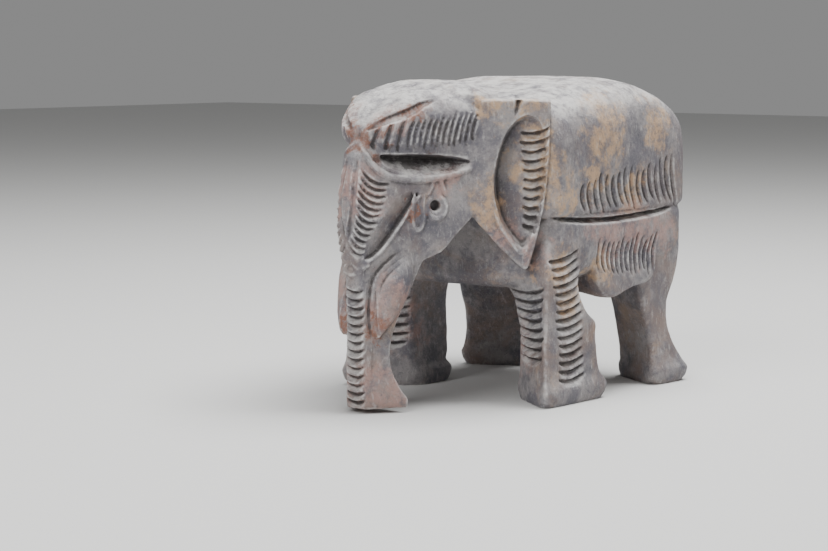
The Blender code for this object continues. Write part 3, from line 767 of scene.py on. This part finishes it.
PUPIL_S = -18.9
PUPIL_Z = 38.8
PUPIL_INNER = 0.9 * STEP_X
PUPIL_OUTER = 1.3 * STEP_X
for side in (LEFT, RIGHT):
    spot = Vector(on_face(CHEEK, skin_depth(CHEEK, PUPIL_S, PUPIL_Z), PUPIL_S, PUPIL_Z))
    aim = outwards(CHEEK)
    pupil = bmesh.new()
    bmesh.ops.create_cone(pupil, cap_ends=True, segments=24, radius1=PUPIL_INNER,
                          radius2=PUPIL_OUTER, depth=3.2 * STEP_X)
    turn = Vector((side * aim.x, aim.y, 0)).to_track_quat("Z", "Y").to_matrix().to_4x4()
    turn.translation = place(side * spot.x, spot.y, spot.z)
    bmesh.ops.transform(pupil, matrix=turn, verts=pupil.verts)
    bmesh.ops.triangulate(pupil, faces=pupil.faces)
    drill_mesh = bpy.data.meshes.new("eye drill")
    pupil.to_mesh(drill_mesh)
    pupil.free()
    blades.objects.link(bpy.data.objects.new("eye drill", drill_mesh))


# Raised lines
# Thin ridges left standing where the face was lowered round them: the eyelid, the eye's ring, its
# tear drop, the edge of the tusk and the lip of the ear.

ridges = bpy.data.collections.new("ridges")
bpy.context.scene.collection.children.link(ridges)
EYE_RING = [(-18.8 + 1.85 * math.cos(math.pi * k / 8), 38.5 + 2.1 * math.sin(math.pi * k / 8))
            for k in range(5, 20)]
for name, angle, line, points, thickness, fullness in (
    ("eyelid", CHEEK, ((-33.3, 51.0), (-32.5, 48.6), (-31.0, 46.4), (-28.9, 44.8), (-25.6, 44.0),
                       (-21.4, 43.8), (-17.0, 44.2), (-13.4, 45.0), (-11.0, 45.8)), 48, 0.66, 3.0),
    ("cheek line", CHEEK, ((-21.6, 41.4), (-24.0, 38.4), (-26.2, 35.2), (-28.6, 32.0), (-31.0, 29.5),
                           (-33.2, 28.3)), 40, 0.36, 6.0),
    ("trunk knot", CHEEK, ((-31.6, 28.4), (-33.6, 27.5), (-35.4, 27.2), (-36.6, 27.6)), 16, 0.55, 5.0),
    ("trunk smile", FRONT, ((-2.4, 27.2), (-1.0, 26.5), (0.0, 26.3), (1.0, 26.5), (2.4, 27.2)), 16,
     0.55, 6.0),
    ("eye ring", CHEEK, EYE_RING, 50, 0.45, 8.0),
    ("first lid line", CHEEK, ((-19.0, 44.0), (-19.7, 42.2), (-20.7, 40.4)), 14, 0.34, 6.0),
    ("second lid line", CHEEK, ((-17.9, 44.0), (-17.3, 42.2), (-16.7, 40.6)), 14, 0.34, 6.0),
    ("tear drop", CHEEK, ((-23.0, 41.4), (-23.5, 39.4), (-23.7, 37.2), (-23.5, 35.2), (-22.8, 34.3),
                          (-21.9, 34.8), (-21.4, 36.6), (-21.4, 39.0), (-21.1, 41.4)), 40, 0.42, 6.0),
    ("cheek scratch", CHEEK, ((-27.5, 33.6), (-26.3, 32.9), (-24.8, 32.6)), 12, 0.2, 4.0),
    ("tusk edge", TUSK, ((-23.4, 29.4), (-26.2, 27.4), (-28.4, 25.0), (-29.0, 21.4), (-29.1, 17.6),
                         (-28.9, 14.8)), 36, 0.36, 5.0),
    ("trunk ridge", TUSK, ((-30.0, 13.0), (-30.4, 9.6), (-30.3, 6.2)), 14, 0.25, 3.0),
    ("ear lip", EAR, ((0.3, 38.2), (1.7, 34.6), (4.0, 31.2), (5.9, 29.4), (7.2, 31.0)), 30, 0.4, 4.0),
):
    for side in (LEFT, RIGHT):
        out = outwards(angle)
        out.x *= side
        run_tree(line_on_skin(name, angle, line, side), RIDGE, {
            "Points": points, "Thickness": thickness * STEP_Z, "Fullness": fullness, "Looks out": out,
            "Skin": elephant,
        }, ridges)
carve(elephant, blades, "DIFFERENCE")
settle(elephant)
joined = bmesh.new()
joined.from_mesh(elephant.data)
for ob in ridges.objects:
    joined.from_mesh(ob.data)
joined.to_mesh(elephant.data)
joined.free()


# Worn surface
# Years of hands have rounded every edge a little, and the chisel's flats are still felt under them.
# The lips and hollows are mapped once: lips stand out from the skin round them, and hollows lie below it;
# the colour uses them for chalky wear and for painted shade.

def finish_tree():
    tree, given, result = new_tree("hand finish", (
        ("Fresh", "Geometry"), ("Dent depth", "Float"), ("Dents per metre", "Float"),
        ("Grain depth", "Float"), ("Grains per metre", "Float"), ("Seed", "Float"),
        ("Stone", "Material")))
    normal = node(tree, "GeometryNodeInputNormal").outputs[0]
    here = node(tree, "GeometryNodeInputPosition").outputs[0]
    height = None
    for depth, pitch, detail in (("Dent depth", "Dents per metre", 1.0),
                                 ("Grain depth", "Grains per metre", 3.0)):
        noise = node(tree, "ShaderNodeTexNoise", noise_dimensions="4D")
        link(tree, here, noise.inputs["Vector"])
        link(tree, given["Seed"], noise.inputs["W"])
        link(tree, given[pitch], noise.inputs["Scale"])
        noise.inputs["Detail"].default_value = detail
        lifted = number(tree, "MULTIPLY", number(tree, "SUBTRACT", noise.outputs[0], 0.52), given[depth])
        height = lifted if height is None else number(tree, "ADD", height, lifted)
    target = sum_of(tree, "ADD", here, sum_of(tree, "SCALE", normal, height))
    floor_it = sum_of(tree, "MAXIMUM", target, (-1.0, -1.0, 0.0))
    moved = node(tree, "GeometryNodeSetPosition")
    link(tree, given["Fresh"], moved.inputs["Geometry"])
    link(tree, floor_it, moved.inputs["Position"])
    mapped = moved.outputs[0]
    for label, rounds, depth in (("lip", 6, 0.0001), ("hollow", 40, 0.0006)):
        soft = node(tree, "GeometryNodeBlurAttribute", data_type="FLOAT_VECTOR")
        link(tree, here, soft.inputs["Value"])
        soft.inputs["Iterations"].default_value = rounds
        proud = sum_of(tree, "DOT_PRODUCT", sum_of(tree, "SUBTRACT", here, soft.outputs[0]), normal)
        proud = proud.node.outputs["Value"]
        kept = node(tree, "GeometryNodeStoreNamedAttribute", data_type="FLOAT", domain="POINT")
        kept.inputs["Name"].default_value = label
        link(tree, mapped, kept.inputs["Geometry"])
        link(tree, number(tree, "DIVIDE", proud, depth), kept.inputs["Value"])
        mapped = kept.outputs[0]
    real = node(tree, "GeometryNodeRealizeInstances")
    link(tree, mapped, real.inputs[0])
    stoned = node(tree, "GeometryNodeSetMaterial")
    link(tree, real.outputs[0], stoned.inputs["Geometry"])
    link(tree, given["Stone"], stoned.inputs["Material"])
    link(tree, stoned.outputs[0], result)
    return tree


stone = bpy.data.materials.new("soapstone")
stone.use_nodes = True
FINE_VOXEL = 0.00023
FINE_TRIANGLES = 190000
elephant.data.materials.clear()
fuse(elephant, FINE_VOXEL, 1)
handled = elephant.modifiers.new("hand finish", "NODES")
handled.node_group = finish_tree()
set_inputs(handled, {"Dent depth": 0.00045, "Dents per metre": 170.0, "Grain depth": 0.00016,
                     "Grains per metre": 900.0, "Seed": 3.0, "Stone": stone})
settle(elephant)
thin(elephant, FINE_TRIANGLES)
for face in elephant.data.polygons:
    face.use_smooth = True


# Soapstone
# Grey lilac stone with clouds of ochre and pink, and pale dust on what faces up. Chisel lips are
# chalky, the cuts and creases are darkened with painted shade, and rubbed places have a low shine.

def shade(kind, **settings):
    return node(stone.node_tree, kind, **settings)


def join(source, target):
    stone.node_tree.links.new(source, target)


def feed(socket, value):
    if isinstance(value, bpy.types.NodeSocket):
        join(value, socket)
    else:
        socket.default_value = value


def blend(amount, first, second):
    """Colour between first and second by an amount from 0 to 1."""
    mix = shade("ShaderNodeMix", data_type="RGBA")
    feed(mix.inputs["Factor"], amount)
    feed(mix.inputs[6], first if isinstance(first, bpy.types.NodeSocket) else (*first, 1.0))
    feed(mix.inputs[7], second if isinstance(second, bpy.types.NodeSocket) else (*second, 1.0))
    return mix.outputs[2]


def maths(operation, first, second, clamp=False):
    step = shade("ShaderNodeMath", operation=operation, use_clamp=clamp)
    feed(step.inputs[0], first)
    feed(step.inputs[1], second)
    return step.outputs[0]


def between(value, low, high):
    """0 below low, 1 above high, smooth between."""
    step = shade("ShaderNodeMapRange", interpolation_type="SMOOTHSTEP")
    feed(step.inputs["Value"], value)
    step.inputs["From Min"].default_value = low
    step.inputs["From Max"].default_value = high
    return step.outputs[0]


def mottle(scale, detail, roughness, where, distortion=0.0):
    noise = shade("ShaderNodeTexNoise")
    join(where, noise.inputs["Vector"])
    noise.inputs["Scale"].default_value = scale
    noise.inputs["Detail"].default_value = detail
    noise.inputs["Roughness"].default_value = roughness
    noise.inputs["Distortion"].default_value = distortion
    return noise.outputs[0]


def shifted(move, stretch=(1, 1, 1)):
    """Object coordinates moved and stretched, so each pattern has its own start."""
    mapping = shade("ShaderNodeMapping")
    join(coords, mapping.inputs["Vector"])
    mapping.inputs["Location"].default_value = move
    mapping.inputs["Scale"].default_value = stretch
    return mapping.outputs[0]


def own(label):
    return shade("ShaderNodeAttribute", attribute_type="GEOMETRY", attribute_name=label).outputs["Fac"]


coords = shade("ShaderNodeTexCoord").outputs["Object"]
apart = shade("ShaderNodeSeparateXYZ")
join(coords, apart.inputs[0])
either_side = shade("ShaderNodeCombineXYZ")
join(maths("ABSOLUTE", apart.outputs["X"], 0.0), either_side.inputs["X"])
join(apart.outputs["Y"], either_side.inputs["Y"])
join(apart.outputs["Z"], either_side.inputs["Z"])


def clouds(spots, ragged):
    """Soft patches round step positions on either side, torn at their edges by a mottle."""
    total = None
    for x, y, z, size in spots:
        near = shade("ShaderNodeVectorMath", operation="DISTANCE")
        join(either_side.outputs[0], near.inputs[0])
        near.inputs[1].default_value = place(x, y, z)
        torn = maths("ADD", near.outputs["Value"], maths("MULTIPLY", maths("SUBTRACT", ragged, 0.5), 0.022))
        patch = maths("SUBTRACT", 1.0, between(torn, 0.45 * size * STEP_X, 1.25 * size * STEP_X))
        total = patch if total is None else maths("MAXIMUM", total, patch)
    return total


LILAC = (0.135, 0.128, 0.147)
ASH = (0.285, 0.266, 0.265)
SLATE = (0.075, 0.075, 0.095)
OCHRE = (0.56, 0.36, 0.20)
PINK = (0.40, 0.245, 0.21)
UMBER = (0.24, 0.17, 0.14)
RUST = (0.22, 0.085, 0.045)
DUST = (0.60, 0.585, 0.565)
CHALK = (0.74, 0.725, 0.71)
# PAINTED_SHADE is a painted shade colour, laid into hollows, into creases under lips and into the eye slot.
PAINTED_SHADE = (0.04, 0.034, 0.034)

torn_edge = mottle(260, 6, 0.68, shifted((0.3, 0.1, 0.2)))
speckle = mottle(1300, 5, 0.75, shifted((0.5, 0.0, 0.4)))
scratches = mottle(900, 4, 0.7, shifted((0, 0, 0), (1.3, 1.3, 0.5)))
colour = blend(between(mottle(150, 8, 0.72, shifted((0.0, 0.4, 0.1))), 0.4, 0.6), LILAC, ASH)
slate = between(mottle(95, 8, 0.7, shifted((0.7, 0.2, 0.5)), 0.6), 0.47, 0.66)
colour = blend(maths("MULTIPLY", slate, 0.65), colour, SLATE)
umber = between(mottle(75, 7, 0.68, shifted((0.9, 0.7, 0.3)), 0.4), 0.46, 0.68)
low_down = maths("SUBTRACT", 1.0, between(apart.outputs["Z"], 0.020, 0.050))
earthy = maths("ADD", 0.3, maths("MULTIPLY", low_down, 0.45))
colour = blend(maths("MULTIPLY", umber, earthy), colour, UMBER)
patchy = maths("ADD", 0.2, between(mottle(420, 7, 0.75, shifted((0.2, 0.8, 0.6))), 0.38, 0.6), True)
wild_ochre = between(mottle(62, 8, 0.7, shifted((0.15, 0.6, 0.9)), 0.5), 0.54, 0.72)
ochre = maths("MAXIMUM", maths("MULTIPLY", wild_ochre, 0.6), clouds((
    (25, 7.7, 55.8, 6.5), (25, 5.3, 48.9, 6.5), (25, 2.1, 42.9, 4.6), (25, -6.8, 40.1, 4.0),
    (25, 25, 53.5, 5.5), (25, 15.6, 38.9, 4.0), (25, -8.5, 25.5, 4.0), (25, 4.8, 26.3, 3.6),
    (16, -19.3, 38.0, 4.2), (22.6, -12.6, 44.0, 5.4), (22.0, -14.0, 50.0, 4.4),
    (25, -5.4, 20.5, 3.6), (20.0, -16.2, 58.6, 4.0), (22.4, -13.8, 58.2, 3.6),
    (16.3, -19.0, 58.2, 3.0)), torn_edge))
colour = blend(maths("MULTIPLY", maths("MULTIPLY", ochre, patchy), 0.72), colour, OCHRE)
pink = clouds((
    (25, 16.6, 33.0, 6.0), (25, 9.0, 31.5, 5.0), (24, -14.0, 30.0, 4.0), (25, 4.0, 33.4, 5.0),
    (3.5, -35, 4.0, 6.0), (7.0, -36.5, 21, 5.5), (5.5, -37.0, 56.0, 4.6), (2.2, -41, 42, 5.5),
    (12, -27, 44.6, 4.0), (25, 27, 30.5, 4.4), (12, -10, 12.0, 7.0), (16, -16.0, 32, 4.0)),
    torn_edge)
colour = blend(maths("MULTIPLY", maths("MULTIPLY", pink, patchy), 0.7), colour, PINK)
facing = shade("ShaderNodeSeparateXYZ")
join(shade("ShaderNodeNewGeometry").outputs["Normal"], facing.inputs[0])
upward = between(facing.outputs["Z"], 0.15, 0.95)
dusty = maths("MULTIPLY", upward, between(mottle(300, 8, 0.75, coords), 0.36, 0.6))
colour = blend(maths("MULTIPLY", dusty, 0.85), colour, DUST)
rust = clouds((
    (1.5, -38.7, 51.3, 2.4), (3.5, -37.4, 52.6, 1.8), (8.6, -31.8, 56.8, 1.6),
    (7.6, -32.0, 38.6, 1.2), (4.0, -38.4, 15.2, 1.6)), torn_edge)
colour = blend(maths("MULTIPLY", maths("MULTIPLY", rust, patchy), 0.8), colour, RUST)
lip = own("lip")
hollow = own("hollow")
colour = blend(maths("MULTIPLY", between(speckle, 0.53, 0.7), 0.55), colour, SLATE)
colour = blend(maths("MULTIPLY", between(scratches, 0.55, 0.7), 0.3), colour, DUST)
chalky = maths("MULTIPLY", between(lip, 0.25, 1.3), between(mottle(700, 4, 0.6, coords), 0.32, 0.62))
colour = blend(maths("MULTIPLY", chalky, 0.7), colour, CHALK)
# Painted shade: the colour is darkened in hollows, where shade falls in the cuts.
colour = blend(maths("MULTIPLY", between(maths("MULTIPLY", hollow, -1.0), 0.1, 1.2), 0.8), colour, PAINTED_SHADE)
# Painted shade: the colour is darkened in the creases just under chisel lips.
colour = blend(maths("MULTIPLY", between(maths("MULTIPLY", lip, -1.0), 0.15, 0.95), 0.75), colour, PAINTED_SHADE)
# Painted shade: the inside of the eye slot is darkened in the colour, where shade falls in the deep recess.
deep = clouds(((8.1, -23.5, 47.4, 2.3), (6.1, -26.9, 47.8, 2.5), (4.0, -30.3, 48.0, 2.4),
               (2.2, -33.4, 48.2, 2.0)), torn_edge)
colour = blend(maths("MULTIPLY", deep, 0.7), colour, PAINTED_SHADE)
grains = mottle(2600, 3, 0.6, coords)
colour = blend(maths("MULTIPLY", between(grains, 0.56, 0.74), 0.22), colour, DUST)

shader = stone.node_tree.nodes["Principled BSDF"]
join(colour, shader.inputs["Base Color"])
rubbed = between(lip, 0.1, 0.8)
join(maths("SUBTRACT", maths("ADD", 0.5, maths("MULTIPLY", grains, 0.3)), maths("MULTIPLY", rubbed, 0.12)),
     shader.inputs["Roughness"])
shader.inputs["Specular IOR Level"].default_value = 0.4
pits = maths("MULTIPLY", mottle(1400, 7, 0.7, coords), 0.7)
relief = maths("ADD", pits, maths("MULTIPLY", scratches, 0.5))
bump = shade("ShaderNodeBump")
bump.inputs["Strength"].default_value = 0.7
bump.inputs["Distance"].default_value = 0.0006
join(relief, bump.inputs["Height"])
join(bump.outputs[0], shader.inputs["Normal"])

for shelf in (masses, hollows, blades, ridges):
    for ob in list(shelf.objects):
        bpy.data.objects.remove(ob, do_unlink=True)
    bpy.data.collections.remove(shelf)
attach(elephant, "root")
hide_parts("elephant")


# Floor and light
# A plain pale floor, a wide soft light overhead, and a softer one from the front.

floor_form = bmesh.new()
bmesh.ops.create_grid(floor_form, x_segments=1, y_segments=1, size=1.5)
floor_mesh = bpy.data.meshes.new("floor")
floor_form.to_mesh(floor_mesh)
floor_form.free()
floor = bpy.data.objects.new("floor", floor_mesh)
bpy.context.scene.collection.objects.link(floor)
paper = bpy.data.materials.new("pale paper")
paper.use_nodes = True
paper.node_tree.nodes["Principled BSDF"].inputs["Base Color"].default_value = (0.62, 0.62, 0.61, 1)
paper.node_tree.nodes["Principled BSDF"].inputs["Roughness"].default_value = 0.9
floor.data.materials.append(paper)


def soft_light(name, spot, size, watts):
    lamp = bpy.data.lights.new(name, "AREA")
    lamp.size = size
    lamp.energy = watts
    ob = bpy.data.objects.new(name, lamp)
    ob.location = spot
    ob.rotation_euler = (Vector((0, 0, 0.03)) - Vector(spot)).to_track_quat("-Z", "Y").to_euler()
    bpy.context.scene.collection.objects.link(ob)


soft_light("overhead", (0.08, 0.1, 0.55), 0.4, 7.0)
soft_light("front", (0.05, -0.5, 0.35), 0.35, 2.2)
world = bpy.data.worlds.new("studio")
world.use_nodes = True
world.node_tree.nodes["Background"].inputs["Color"].default_value = (1, 1, 1, 1)
world.node_tree.nodes["Background"].inputs["Strength"].default_value = 0.26
bpy.context.scene.world = world

lens = bpy.data.cameras.new("camera")
lens.lens = 98.7
lens.sensor_width = 36
lens.clip_start = 0.01
camera = bpy.data.objects.new("camera", lens)
camera.location = (0.2729212, -0.3573379, 0.0695)
camera.rotation_euler = (math.radians(84.08), 0, math.radians(39))
bpy.context.scene.collection.objects.link(camera)
bpy.context.scene.camera = camera
